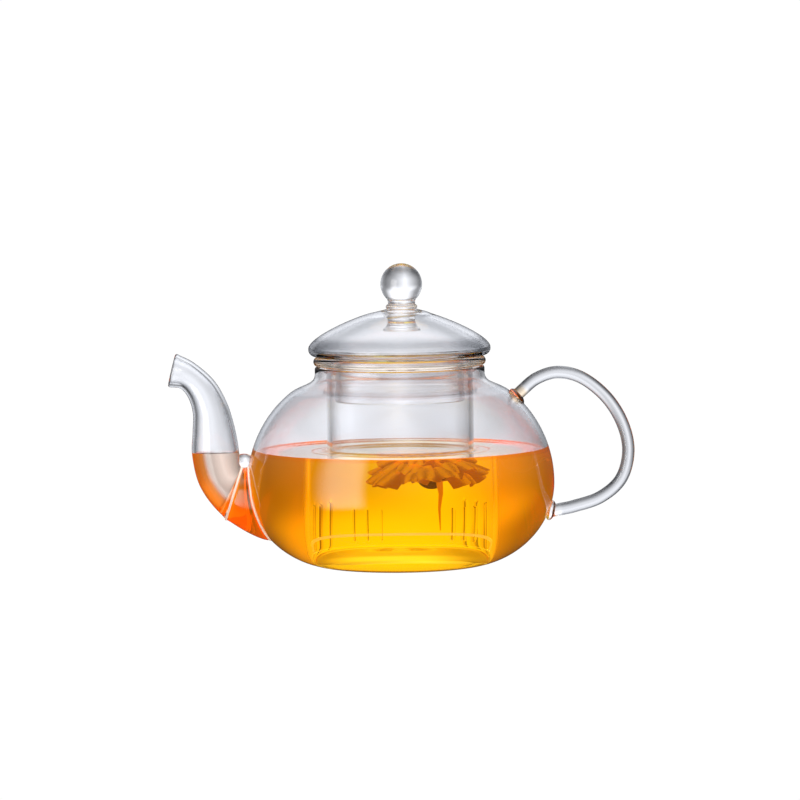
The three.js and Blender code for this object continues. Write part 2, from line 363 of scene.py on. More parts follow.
def tea_material(name, colour, density, glow, painted_glow_colour=(1, 0.42, 0)):
    """Tea: its open surface bends light, and the faces against glass or more tea don't.

    It has a painted glow throughout, and faces with a rim value have a stronger painted glow and a painted
    deeper orange, like the bright rim of a narrow column of tea.
    """
    material, tree, shader = new_material(name)
    shader.inputs["Base Color"].default_value = (1, 1, 1, 1)
    # Painted deeper orange and glow on the rim faces.
    shade = mix_colour(tree, face_value(tree, "rim"), (1.0, 1.0, 1.0), RIM_LIGHT)
    tree.links.new(shade, shader.inputs["Base Color"])
    shader.inputs["Emission Color"].default_value = (*RIM_GLOW, 1)
    rim_glow = choose(tree, face_value(tree, "rim"), 0.0, RIM_STRENGTH)
    tree.links.new(rim_glow, shader.inputs["Emission Strength"])
    shader.inputs["Roughness"].default_value = 0
    shader.inputs["IOR"].default_value = TEA_IOR
    shader.inputs["Transmission Weight"].default_value = 1
    ior = choose(tree, face_value(tree, "open"), 1.0, TEA_IOR)
    tree.links.new(ior, shader.inputs["IOR"])
    absorb = tree.nodes.new("ShaderNodeVolumeAbsorption")
    absorb.inputs["Color"].default_value = (*colour, 1)
    absorb.inputs["Density"].default_value = density
    # Painted glow throughout the tea.
    painted_glow = tree.nodes.new("ShaderNodeEmission")
    painted_glow.inputs["Color"].default_value = (*painted_glow_colour, 1)
    painted_glow.inputs["Strength"].default_value = glow
    both = tree.nodes.new("ShaderNodeAddShader")
    tree.links.new(absorb.outputs[0], both.inputs[0])
    tree.links.new(painted_glow.outputs[0], both.inputs[1])
    tree.links.new(both.outputs[0], tree.nodes["Material Output"].inputs["Volume"])
    return material


# ---------------------------------------------------------------- the pot


def bowl_outline():
    """The outside of the bowl, from the axis to where the rim starts to round over."""
    belly = BELLY_RADIUS
    outline = [(0, 0), (33, 0)]
    outline += cubic((33, 0), (52, 1), (belly, 17), (belly, BELLY_HEIGHT), 60)
    outline += cubic((belly, BELLY_HEIGHT), (belly, 56), (61, 71), (50, 79.5), 50)
    outline += cubic((50, 79.5), (45, 83.3), (NECK_RADIUS, 83), (NECK_RADIUS, NECK_HEIGHT), 24)
    outline.append((NECK_RADIUS, RIM_HEIGHT - POT_WALL / 2))
    return outline


SPOUT_WALL = 1.9
SPOUT_RINGS = 24  # between two stations
WELD_RADIUS = 0.52
WELD_POINTS = 96
SPOUT_START = 0.2  # a station inside the bowl
SPOUT_JOINT = 2  # the station where cone and tube are fused, in a thickened ring
SPOUT_END = 9
SPOUT_LEDGE = 1.2  # how much narrower than the cone's bore the bowl's hole is, in radius
SPOUT_STATIONS = [
    ((-60, 47.5), (-53, 15)),
    ((-68.8, 46.4), (-62.6, 12.6)),
    ((-72.4, 46), (-80, 22.4)),
    ((-73.4, 50.4), (-91.2, 36.2)),
    ((-74.3, 57.5), (-95.1, 51)),
    ((-76, 66), (-94.8, 61.8)),
    ((-79, 75.6), (-94.5, 70.3)),
    ((-84.6, 85.6), (-96.2, 77.2)),
    ((-93.3, 93.6), (-99.8, 82)),
    ((-101.2, 97.9), (-104.9, 82.8)),
]


def catmull(points, t):
    """A Catmull-Rom curve through the points, at t counted in points."""
    last = len(points) - 1
    i = min(int(t), last - 1)
    f = t - i
    p1, p2 = np.array(points[i], float), np.array(points[i + 1], float)
    p0 = np.array(points[i - 1], float) if i > 0 else 2 * p1 - p2
    p3 = np.array(points[i + 2], float) if i + 2 <= last else 2 * p2 - p1
    return 0.5 * (
        2 * p1 + (p2 - p0) * f + (2 * p0 - 5 * p1 + 4 * p2 - p3) * f**2
        + (3 * p1 - 3 * p2 + p3 - p0) * f**3
    )


def spout_rings(start, end, margin):
    """Rings of the spout: centre, unit direction across, radius."""
    uppers = [s[0] for s in SPOUT_STATIONS]
    lowers = [s[1] for s in SPOUT_STATIONS]
    count = round((end - start) * SPOUT_RINGS)
    rings = []
    for i in range(count + 1):
        t = start + (end - start) * i / count
        upper, lower = catmull(uppers, t), catmull(lowers, t)
        across = upper - lower
        width = np.hypot(*across)
        swelling = 0.35 * math.exp(-(((t - SPOUT_JOINT) / 0.09) ** 2)) if margin >= 0 else 0
        rings.append(((upper + lower) / 2, across / width, width / 2 + margin + swelling))
    return rings


def skin(name, rings, sides=72, closed=False):
    """A solid through rings: open rings are capped, closed ones run round into themselves."""
    vertices, faces = [], []
    for centre, across, radius in rings:
        for s in range(sides):
            a = 2 * math.pi * s / sides
            out, side = radius * math.cos(a), radius * math.sin(a)
            vertices.append((centre[0] + across[0] * out, side, centre[1] + across[1] * out))
    count = len(rings)
    spans = range(count) if closed else range(count - 1)
    for i in spans:
        j = (i + 1) % count
        for s in range(sides):
            t = (s + 1) % sides
            faces.append([i * sides + s, i * sides + t, j * sides + t, j * sides + s])
    if not closed:
        faces.append(list(range(sides))[::-1])
        faces.append([(count - 1) * sides + s for s in range(sides)])
    return make_piece(name, vertices, faces)


def turn_outwards(piece):
    """Turns the faces outwards if the piece is inside out."""
    mesh = bmesh.new()
    mesh.from_mesh(piece.data)
    if mesh.calc_volume(signed=True) < 0:
        bmesh.ops.reverse_faces(mesh, faces=mesh.faces)
    mesh.to_mesh(piece.data)
    mesh.free()


def lip_rings(rings, inside):
    """Rounds the wall over the mouth: from the outer ring to the inner one."""
    centre, across, outer = rings[-1]
    inner = inside[-1][2]
    middle, half = (outer + inner) / 2, (outer - inner) / 2
    along = np.array([across[1], -across[0]])
    if along[0] > 0:
        along = -along
    made = []
    for i in range(1, 8):
        a = math.pi * i / 8
        made.append((centre + along * half * math.sin(a), across, middle + half * math.cos(a)))
    return made


def outer_radius(height):
    """The bowl's outside radius at a height below the shoulder."""
    outline = bowl_outline()
    below = [p for p in outline if p[1] < 79]
    return float(np.interp(height, [p[1] for p in below], [p[0] for p in below]))


def tube_along(name, points, radius, sides=16):
    """A closed ring of glass along a closed line of points."""
    points = np.array(points)
    vertices, faces = [], []
    count = len(points)
    for i in range(count):
        along = points[(i + 1) % count] - points[i - 1]
        along /= np.linalg.norm(along)
        out = np.cross(along, (0, 0.001, 0)) + points[i] - points.mean(axis=0)
        out -= along * np.dot(out, along)
        out /= np.linalg.norm(out)
        side = np.cross(along, out)
        for s in range(sides):
            a = 2 * math.pi * s / sides
            vertices.append(tuple(points[i] + radius * (out * math.cos(a) + side * math.sin(a))))
    for i in range(count):
        j = (i + 1) % count
        for s in range(sides):
            t = (s + 1) % sides
            faces.append([i * sides + s, i * sides + t, j * sides + t, j * sides + s])
    piece = make_piece(name, vertices, faces)
    turn_outwards(piece)
    return piece


def cone_weld():
    """The thread of glass where the spout's cone meets the bowl."""
    rings = spout_rings(SPOUT_START, SPOUT_JOINT, 0)
    points = []
    for s in range(WELD_POINTS):
        a = 2 * math.pi * s / WELD_POINTS
        for centre, across, radius in rings:
            x = centre[0] + across[0] * radius * math.cos(a)
            z = centre[1] + across[1] * radius * math.cos(a)
            y = radius * math.sin(a)
            if math.hypot(x, y) > outer_radius(z):
                points.append((x, y, z))
                break
    smooth = np.array(points)
    for _ in range(6):
        smooth = (np.roll(smooth, 1, axis=0) + 2 * smooth + np.roll(smooth, -1, axis=0)) / 4
    return tube_along("cone_weld", smooth, WELD_RADIUS)


def tube_weld():
    """The thread of glass where the spout's tube meets its cone."""
    centre, across, radius = spout_rings(SPOUT_JOINT, SPOUT_JOINT + 1, 0)[0]
    points = []
    for s in range(WELD_POINTS):
        a = 2 * math.pi * s / WELD_POINTS
        out, side = radius * math.cos(a), radius * math.sin(a)
        points.append((centre[0] + across[0] * out, side, centre[1] + across[1] * out))
    return tube_along("tube_weld", points, WELD_RADIUS)


BRIDGE_PLACE = (-71.6, 48.6)
BRIDGE_HALVES = (5, 4.2, 3.4)


def make_pot():
    """Bowl, spout, bridge and handle, joined into one piece of glass."""
    half = POT_WALL / 2
    outside = bowl_outline()
    inside = offset(outside, POT_WALL)
    lip = arc((NECK_RADIUS - half, RIM_HEIGHT - half), half, 0, 180, 10)
    profile = outside[:-1] + lip + inside[:-1][::-1]
    pot = revolve("pot_glass", profile)

    outer = spout_rings(SPOUT_START, SPOUT_END, 0)
    inner = spout_rings(SPOUT_START, SPOUT_END, -SPOUT_WALL)
    spout = skin("spout", outer + lip_rings(outer, inner) + inner[::-1], closed=True)
    turn_outwards(spout)
    # The part of the spout inside the bowl is cut off in the middle of the bowl's wall.
    middle = offset(outside, half)
    plug = revolve("plug", middle + [(0, RIM_HEIGHT)])
    combine(spout, plug, "DIFFERENCE")
    combine(pot, spout, "UNION")
    hole = skin("hole", spout_rings(0.05, 1.6, -SPOUT_WALL - SPOUT_LEDGE))
    turn_outwards(hole)
    combine(pot, hole, "DIFFERENCE")
    bridge = ellipsoid("bridge", BRIDGE_PLACE, 0, BRIDGE_HALVES)
    bore = skin("bore", spout_rings(1.6, 5, -SPOUT_WALL / 2))
    turn_outwards(bore)
    combine(bridge, bore, "DIFFERENCE")
    combine(pot, bridge, "UNION")
    combine(pot, make_handle(), "UNION")
    return pot


TEA_LAP = 0.15
# The two bodies of tea end inside the infuser's glass, a little apart, so that no two faces coincide.
OUTER_TEA_RADIUS = 32.9
INNER_TEA_RADIUS = 32.1
OUTER_TEA_FLOOR = FLOOR_HEIGHT + 1
INNER_TEA_FLOOR = FLOOR_TOP - 1


def meniscus(wall, rise=TEA_CLIMB, reach=1.5):
    """The tea's surface from the glass wall inwards: it climbs the wall a little."""
    return [(wall - d, TEA_LEVEL + rise * math.exp(-d / reach)) for d in np.linspace(0.4, 6.4, 16)]


def is_surface(p, n):
    """The tea's open surface, with its climb."""
    return n[2] > 0.35 and p[2] > TEA_LEVEL - 0.3


def climbs(p, n):
    """Where the tea's surface climbs the glass, which gets a painted glow."""
    return n[2] > 0.05 and p[2] > TEA_LEVEL + 0.25


def below_edge(p, n):
    """The narrow band of tea just under the edge of its surface, which gets a painted glow."""
    return p[2] > TEA_LEVEL - 1 and n[2] < 0.35 and math.hypot(p[0], p[1]) > INFUSER_RADIUS + 5


def outer_tea():
    """The tea between the bowl and the infuser's wall."""
    inside = offset(bowl_outline(), POT_WALL - TEA_LAP)
    wall = evened([p for p in inside if p[1] < TEA_LEVEL + TEA_CLIMB], 1.5)
    wall[0] = (0, wall[0][1])
    edge, low = OUTER_TEA_RADIUS, OUTER_TEA_FLOOR
    profile = wall + meniscus(wall[-1][0])
    profile += [(r, TEA_LEVEL) for r in np.linspace(profile[-1][0] - 2, edge + 5, 6)]
    climb = meniscus(0)
    profile += [(INFUSER_RADIUS + 0.4 - r, z) for r, z in climb[::-1]]
    profile += [(edge, climb[0][1])]
    profile += evened([(edge, climb[0][1]), (edge, low)], 2)[1:]
    profile += evened([(edge, low), (0, low)], 2)[1:]
    profile[-1] = (0, low)
    tea = revolve("tea", profile)
    turn_outwards(tea)
    mark(tea, "open", is_surface)
    # Painted glow and deeper orange where the tea climbs the glass and just under its surface's edge.
    mark(tea, "rim", lambda p, n: max(0.35 * climbs(p, n), 0.5 * below_edge(p, n)))
    return tea


def spout_tea(name, start, end):
    """The tea in a stretch of the spout, where it stands as high as in the bowl."""
    tea = skin(name, spout_rings(start, end, -SPOUT_WALL + TEA_LAP))
    turn_outwards(tea)
    combine(tea, block((-180, -60, -60), (20, 60, TEA_LEVEL)), "INTERSECT")
    bowl = revolve("bowl_blank", offset(bowl_outline(), POT_WALL - 3 * TEA_LAP) + [(0, RIM_HEIGHT)])
    combine(tea, bowl, "DIFFERENCE")
    mark(tea, "open", lambda p, n: n[2] > 0.8 and p[2] > TEA_LEVEL - 0.3)
    # Painted glow and deeper orange on the faces turned away from the bowl and down.
    mark(tea, "rim", lambda p, n: smooth_step(-0.85 * n[0] - 0.6 * n[2], 0.3, 0.6))
    return tea


def inner_tea():
    """The tea inside the infuser."""
    edge, low = INNER_TEA_RADIUS, INNER_TEA_FLOOR
    profile = [(0, low)] + evened([(0, low), (edge, low)], 2)[1:]
    top = meniscus(INFUSER_RADIUS - INFUSER_WALL)
    profile += evened([(edge, low), (edge, top[0][1])], 2)[1:]
    profile += top
    profile += [(r, TEA_LEVEL) for r in np.linspace(top[-1][0] - 2, 0, 14)]
    tea = revolve("infuser_tea", profile)
    turn_outwards(tea)
    mark(tea, "open", is_surface)
    # Painted glow and deeper orange where the tea climbs the glass.
    mark(tea, "rim", lambda p, n: 0.35 * climbs(p, n))
    return tea


def mark_wet(pot, teas):
    """Marks the faces of the pot that touch tea."""
    trees = []
    for tea in teas:
        mesh = tea.data
        trees.append(BVHTree.FromPolygons([v.co for v in mesh.vertices], [p.vertices for p in mesh.polygons]))

    def touches(point, normal):
        # A point just off the face is in tea if a ray straight up from it leaves the tea.
        probe = (point + normal * 0.3) * MM
        if probe.z > (TEA_LEVEL + TEA_CLIMB) * MM:
            return False
        for tree in trees:
            hit, facing, _, _ = tree.ray_cast(probe, Vector((0, 0, 1)))
            if hit is not None and facing.z > 0:
                return True
        return False

    mark(pot, "wet", touches)


# ---------------------------------------------------------------- handle


HANDLE_LINE = [
    (51.8, 75.6), (55.6, 79.4), (62.5, 84.9), (72, 87.6), (83, 84.9), (94, 76), (101.3, 64),
    (103.9, 51), (100.4, 38.4), (91, 30.2), (79, 26.2), (71.6, 24.7), (67.5, 24),
]
HANDLE_RADIUS = 2.85
HANDLE_RINGS = 20  # between two points of the line


def handle_rings():
    """Rings along the rod: centre, unit direction across, radius."""
    last = len(HANDLE_LINE) - 1
    count = last * HANDLE_RINGS
    rings = []
    for i in range(count + 1):
        t = last * i / count
        step = catmull(HANDLE_LINE, min(t + 0.02, last)) - catmull(HANDLE_LINE, max(t - 0.02, 0))
        along = step / np.hypot(*step)
        rings.append((catmull(HANDLE_LINE, t), np.array([-along[1], along[0]]), HANDLE_RADIUS))
    return rings


def ellipsoid(name, place, lean, halves, steps=32):
    """A bead of glass at an x and z, leaned from upright towards +X by degrees."""
    half_x, half_y, half_z = halves
    lean = math.radians(lean)
    profile = [(0, -1)]
    for i in range(1, steps):
        a = math.pi * (i / steps - 0.5)
        profile.append((math.cos(a), math.sin(a)))
    profile.append((0, 1))
    piece = revolve(name, profile, 64)
    for vertex in piece.data.vertices:
        x, y, z = vertex.co / MM
        x, y, z = x * half_x, y * half_y, z * half_z
        x, z = x * math.cos(lean) + z * math.sin(lean), z * math.cos(lean) - x * math.sin(lean)
        vertex.co = ((x + place[0]) * MM, y * MM, (z + place[1]) * MM)
    return piece


def make_handle():
    """The rod and its two welds, trimmed so that nothing pokes through the bowl's wall."""
    handle = skin("handle_glass", handle_rings(), 48)
    turn_outwards(handle)
    combine(handle, ellipsoid("upper_weld", (53.2, 76.4), 52, (4.6, 4.6, 2.4)), "UNION")
    combine(handle, ellipsoid("lower_weld", (68.2, 24.4), 104, (4.6, 4.6, 2.2)), "UNION")
    inside = revolve("inside", offset(bowl_outline(), POT_WALL * 0.7) + [(0, RIM_HEIGHT)])
    combine(handle, inside, "DIFFERENCE")
    return handle


# ---------------------------------------------------------------- infuser


def make_infuser():
    """Flange, tube and thick foot in one turned piece, with the slits cut through the tube."""
    outer, inner = INFUSER_RADIUS, INFUSER_RADIUS - INFUSER_WALL
    low, edge = FLOOR_HEIGHT, FOOT_EDGE_RADIUS
    top, under = flange_high[2], flange_low[2]
    reach = flange_high[0]
    half = (top - under) / 2
    profile = [(0, low)]
    profile += evened([(0, low), (outer - edge, low)], 1.5)[1:-1]
    profile += arc((outer - edge, low + edge), edge, -90, 0, 10)
    profile += evened([(outer, low + edge), (outer, under - 1)], 1.2)[1:-1]
    profile += arc((outer + 1, under - 1), 1, 180, 90, 6)
    profile += evened([(outer + 1, under), (reach - half, under)], 1)[1:-1]
    profile += arc((reach - half, under + half), half, -90, 90, 16)
    profile += evened([(reach - half, top), (inner + 1, top)], 1)[1:-1]
    profile += arc((inner + 1, top - 1), 1, 90, 180, 8)
    profile += evened([(inner, top - 1), (inner, FLOOR_TOP + 1.5)], 1.2)[1:-1]
    profile += arc((inner - 1.5, FLOOR_TOP + 1.5), 1.5, 0, -90, 6)
    profile += evened([(inner - 1.5, FLOOR_TOP), (0, FLOOR_TOP)], 1.5)[1:-1]
    profile += [(0, FLOOR_TOP)]
    infuser = revolve("infuser_glass", profile, 240)
    for group in SLIT_GROUPS:
        for i in (-1, 0, 1):
            combine(infuser, slit_cutter(group + i * SLIT_SPACING), "DIFFERENCE")
    return infuser


def ring_weld(name, radius, height, half):
    """A level thread of weld round the inside of the infuser's wall, a little above its foot."""
    section = arc((radius, height), half, 0, 360, 12)[:-1]
    count, turns = len(section), 200
    vertices, faces = [], []
    for i in range(turns):
        a = 2 * math.pi * i / turns
        vertices += [(r * math.cos(a), r * math.sin(a), z) for r, z in section]
        for j in range(count):
            k = (j + 1) % count
            after = (i + 1) % turns * count
            faces.append([i * count + j, i * count + k, after + k, after + j])
    ring = make_piece(name, vertices, faces)
    turn_outwards(ring)
    return ring


def slit_cutter(angle):
    """An upright slot with round ends, through the infuser's wall."""
    half = SLIT_HALF_WIDTH
    outline = arc((0, SLIT_HIGH), half, 0, 180, 8) + arc((0, SLIT_LOW), half, 180, 360, 8)
    count = len(outline)
    a = math.radians(angle)
    vertices = []
    for depth in (-INFUSER_RADIUS - 2, -INFUSER_RADIUS + 4):
        for x, z in outline:
            vertices.append((x * math.cos(a) - depth * math.sin(a), x * math.sin(a) + depth * math.cos(a), z))
    faces = [list(range(count))[::-1], [count + i for i in range(count)]]
    for i in range(count):
        j = (i + 1) % count
        faces.append([i, j, count + j, count + i])
    piece = make_piece("slit", vertices, faces, smooth=False)
    turn_outwards(piece)
    return piece


# ---------------------------------------------------------------- lid


KNOB_OFF_CENTRE = 1.2
KNOB_NECK_RADIUS = 6.2
LID_WALL = 2.2
LID_EDGE = (41.4, 100.3)


def make_lid():
    """Dome, skirt, knob and stub in one turned piece; the knob is then moved off the axis."""
    wall = LID_WALL
    under = dome_low[2]
    skirt_r, skirt_z = skirt_high[0], skirt_low[2]
    top = knob_high[2]
    ball_r = knob_high[0] - KNOB_OFF_CENTRE
    ball_z = top - ball_r
    neck = KNOB_NECK_RADIUS
    throat = -math.degrees(math.acos((neck + 0.4) / ball_r))
    outline = arc((0, ball_z), ball_r, 90, throat, 40)
    outline[0] = (0, top)
    outline += cubic(outline[-1], (neck - 0.1, 121.3), (neck, 120.2), (neck, 119.4), 8)
    outline += cubic(outline[-1], (7.4, 119.2), (7.4, 117.9), (6.7, 117.6), 8)
    outline += cubic(outline[-1], (6.6, 117.4), (7.5, 117.1), (9, 116.7), 6)
    dome = [outline[-1]]
    dome += cubic(dome[-1], (20, 114.2), (39.6, 105.6), LID_EDGE, 50)
    dome += cubic(dome[-1], (42, 98), (40.6, under), (37.6, under), 20)
    outline += dome[1:]
    outline += evened([(37.6, under), (skirt_r + 1, under)], 1)[1:]
    outline += arc((skirt_r + 1, under - 1), 1, 90, 180, 6)[1:]
    outline += evened([(skirt_r, under - 1), (skirt_r, skirt_z + 1.1)], 1)[1:]
    inner = skirt_r - wall
    profile = list(outline)
    profile += arc((skirt_r - wall / 2, skirt_z + wall / 2), wall / 2, 0, -180, 12)[1:]
    profile += evened([(inner, skirt_z + 1.1), (inner, under + wall - 1)], 1)[1:]
    profile += arc((inner + 1, under + wall - 1), 1, 180, 90, 6)[1:]
    dome_inner = offset(dome, -wall)[::-1]
    profile += evened([(inner + 1, under + wall), dome_inner[0]], 1)[1:-1]
    profile += dome_inner
    profile += cubic(profile[-1], (7.6, 114), (6.4, 113), (6.2, 111.5), 8)
    profile += cubic((6.2, 111.5), (6.2, 109.8), (7.6, 108.6), (8.6, 107.6), 8)
    profile += cubic((8.6, 107.6), (8.9, 107.0), (7.9, 106.7), (7.0, 106.8), 6)
    profile += cubic((7.0, 106.8), (4.5, 107.1), (2.0, 107.4), (0, 107.4), 8)
    lid = revolve("lid_glass", profile)
    turn_outwards(lid)
    for vertex in lid.data.vertices:
        x, y, z = vertex.co / MM
        near = min(max((16 - math.hypot(x, y)) / 6, 0), 1)
        above = min(max((z - 104) / 2, 0), 1)
        vertex.co.x += KNOB_OFF_CENTRE * near * near * (3 - 2 * near) * above * MM
    return lid


# ---------------------------------------------------------------- flower


FLOWER_PLACE = (9.2, 0.0, 43.2)
FLOWER_RADIUS = 23.0
PETAL_WIDTH = 6.4
PETAL_STEPS = (14, 16)  # along and across


def petal(azimuth, length, width, rise, droop, twist, notch):
    """Vertices, faces and tones of one petal: a curved tongue with a notched tip and darker veins."""
    vertices, faces, tones = [], [], []
    along_steps, across_steps = PETAL_STEPS
    for i in range(along_steps + 1):
        u = i / along_steps
        for j in range(across_steps + 1):
            v = 2 * j / across_steps - 1
            half = width * (0.22 + 0.78 * math.sin(math.pi * min(u * 0.62 + 0.05, 0.5)) ** 1.3)
            half *= 1 - 0.22 * max(u - 0.8, 0) / 0.2
            ragged = 1 - notch * u * (0.5 + 0.5 * math.cos(3 * math.pi * v)) - 0.3 * u * abs(v) ** 3
            r = 2.0 + length * u * ragged
            side = half * v
            up = rise * math.sin(math.pi * 0.5 * min(u * 1.6, 1)) - droop * u * u
            up += 1.1 * math.cos(2.6 * v + twist) * u + twist * 0.9 * v * u
            x = r * math.cos(azimuth) - side * math.sin(azimuth)
            y = r * math.sin(azimuth) + side * math.cos(azimuth)
            vertices.append((x, y, up))
            veins = 0.5 + 0.5 * math.cos(9 * v + twist)
            tones.append(0.9 - 0.45 * abs(v) ** 2.5 - 0.28 * u * veins)
    row = across_steps + 1
    for i in range(along_steps):
        for j in range(across_steps):
            a = i * row + j
            faces.append((a, a + 1, a + row + 1, a + row))
    return vertices, faces, tones


def make_petals():
    """Three whorls of petals, the outer ones drooping."""
    rng = np.random.default_rng(11)
    vertices, faces, tones = [], [], []
    whorls = [(13, 1.0, 1.0, 6.5), (12, 0.84, 2.6, 5.0), (10, 0.6, 4.2, 3.0)]
    for count, share, rise, droop in whorls:
        whorl_shade = 1.25 - 0.35 * share
        for i in range(count):
            azimuth = 2 * math.pi * (i + rng.uniform(-0.25, 0.25)) / count
            length = (FLOWER_RADIUS - 2) * share * rng.uniform(0.86, 1.02)
            width = PETAL_WIDTH * rng.uniform(0.85, 1.15) * (0.6 + 0.4 * share)
            hang = droop * rng.uniform(0.6, 1.25)
            twist = rng.uniform(-1, 1)
            notch = rng.uniform(0.02, 0.07)
            made, shape, shades = petal(azimuth, length, width, rise, hang, twist, notch)
            start = len(vertices)
            x0, y0, z0 = FLOWER_PLACE
            vertices += [(x + x0, y + y0, z + z0) for x, y, z in made]
            faces += [tuple(start + v for v in face) for face in shape]
            tones += [shade * whorl_shade for shade in shades]
    petals = make_piece("petals", vertices, faces)
    tone = petals.data.attributes.new("tone", "FLOAT", "POINT")
    tone.data.foreach_set("value", tones)
    thick = petals.modifiers.new("thickness", "SOLIDIFY")
    thick.thickness = 0.35 * MM
    return petals


def thread(name, points, radii, sides=10, steps=8):
    """A solid thread through points, with a radius at each."""
    line = np.array(points, dtype=float)
    count = (len(line) - 1) * steps
    vertices, faces = [], []
    for i in range(count + 1):
        t = i / steps
        k = min(int(t), len(line) - 2)
        f = t - k
        here = line[k] + (line[k + 1] - line[k]) * f
        radius = radii[k] + (radii[k + 1] - radii[k]) * f
        for s in range(sides):
            a = 2 * math.pi * s / sides
            vertices.append((here[0] + radius * math.cos(a), here[1] + radius * math.sin(a), here[2]))
    for i in range(count):
        for s in range(sides):
            t = (s + 1) % sides
            faces.append([i * sides + s, i * sides + t, (i + 1) * sides + t, (i + 1) * sides + s])
    faces.append(list(range(sides))[::-1])
    faces.append([count * sides + s for s in range(sides)])
    piece = make_piece(name, vertices, faces)
    turn_outwards(piece)
    return piece


def make_calyx():
    """The dark knot under the petals, with small sepals."""
    x0, y0, z0 = FLOWER_PLACE
    calyx = ellipsoid("calyx", (x0 + 0.8, z0 - 5), 8, (4.4, 4.4, 2.8))
    rng = np.random.default_rng(5)
    for i in range(9):
        a = 2 * math.pi * i / 9
        sepal = ellipsoid("sepal", (0, 0), rng.uniform(50, 75), (1.0, 0.7, 3.4))
        for vertex in sepal.data.vertices:
            x, y, z = vertex.co / MM
            x += 4.2
            vertex.co = (
                (x * math.cos(a) - y * math.sin(a) + x0 + 0.8) * MM,
                (x * math.sin(a) + y * math.cos(a) + y0) * MM,
                (z + z0 - 4.2) * MM,
            )
        combine(calyx, sepal, "UNION")
    return calyx


def make_strand():
    """The thread that hangs from the flower."""
    x0, y0, z0 = FLOWER_PLACE
    bends = [(4, -3, -5), (4.6, -3.4, -9), (4.0, -3.8, -13), (4.3, -4, -18)]
    points = [(x0 + x, y0 + y, z0 + z) for x, y, z in bends]
    return thread("strand", points, [1.3, 0.8, 0.45, 0.15])


def flower_material(name, dark, light, glow, toned=False):
    """Soaked petals, mottled dark and light, with a painted glow that stands in for light from behind.

    A toned piece also has a tone on each of its points, which darkens its veins and edges.
    """
    material, tree, shader = new_material(name)
    veins = tree.nodes.new("ShaderNodeTexNoise")
    veins.inputs["Scale"].default_value = 260
    veins.inputs["Detail"].default_value = 5
    tones = tree.nodes.new("ShaderNodeValToRGB")
    tones.color_ramp.elements[0].position = 0.4
    tones.color_ramp.elements[0].color = (*dark, 1)
    tones.color_ramp.elements[1].position = 0.6
    tones.color_ramp.elements[1].color = (*light, 1)
    shade = veins.outputs["Fac"]
    if toned:
        sum_of_both = tree.nodes.new("ShaderNodeMath")
        sum_of_both.operation = "MULTIPLY_ADD"
        sum_of_both.inputs[1].default_value = 0.6
        tree.links.new(face_value(tree, "tone"), sum_of_both.inputs[0])
        tree.links.new(shade, sum_of_both.inputs[2])
        shade = choose(tree, sum_of_both.outputs[0], -0.45, 0.55)
    tree.links.new(shade, tones.inputs["Fac"])
    shader.inputs["Base Color"].default_value = (*light, 1)
    tree.links.new(tones.outputs["Color"], shader.inputs["Base Color"])
    # Painted glow, as if lit from behind.
    tree.links.new(tones.outputs["Color"], shader.inputs["Emission Color"])
    shader.inputs["Emission Strength"].default_value = glow
    shader.inputs["Roughness"].default_value = 0.6
    shader.inputs["IOR"].default_value = 1.1
    return material


# ---------------------------------------------------------------- stage


WHITE = 1.02


def make_stage():
    """A white table that shows only to the camera."""
    bpy.ops.mesh.primitive_plane_add(size=6, location=(0, 0, -0.0005))
    floor = bpy.context.object
    floor.name = "floor"
    material = bpy.data.materials.new("white_table")
    material.use_nodes = True
    tree = material.node_tree
    tree.nodes.clear()
    out = tree.nodes.new("ShaderNodeOutputMaterial")
    glow = tree.nodes.new("ShaderNodeEmission")
    glow.inputs["Strength"].default_value = WHITE
    tree.links.new(glow.outputs[0], out.inputs["Surface"])
    floor.data.materials.append(material)
    floor.visible_transmission = False
    floor.visible_glossy = False
    floor.visible_diffuse = False
    floor.visible_shadow = False


class Formula:
    """Builds a chain of math nodes in a node tree."""

    def __init__(self, tree):
        self.tree = tree

    def __call__(self, operation, *values):
        node = self.tree.nodes.new("ShaderNodeMath")
        node.operation = operation
        for socket, value in zip(node.inputs, values):
            self.feed(socket, value)
        return node.outputs[0]

    def step(self, value, start, end, low=0.0, high=1.0):
        """Goes smoothly from low to high as the value goes from start to end."""
        node = self.tree.nodes.new("ShaderNodeMapRange")
        node.interpolation_type = "SMOOTHSTEP"
        names = ("Value", "From Min", "From Max", "To Min", "To Max")
        for name, given in zip(names, (value, start, end, low, high)):
            self.feed(node.inputs[name], given)
        return node.outputs[0]

    def feed(self, socket, given):
        """Sets a socket to a number, or links it to another socket."""
        if isinstance(given, (int, float)):
            socket.default_value = given
        else:
            self.tree.links.new(given, socket)


STUDIO_TINT = (0.935, 0.95, 1)
# The bright field at the pot's height, and higher up. Width and turn are in degrees.
FIELD_STRENGTH = 1.16
FIELD_WIDTH = 24
FIELD_TURN = 7
HIGH_STRENGTH = 1.3
HIGH_TURN = -5
HIGH_SIDE = 0.25
HIGH_DIP = 0.5
TABLE_DARK = 0.3
TABLE_UNDER = 0.9
# What the glass mirrors: low down, high up and overhead.
GLOSS_LOW = 0.02
GLOSS_HIGH = 0.3
GLOSS_OVERHEAD = 2.0


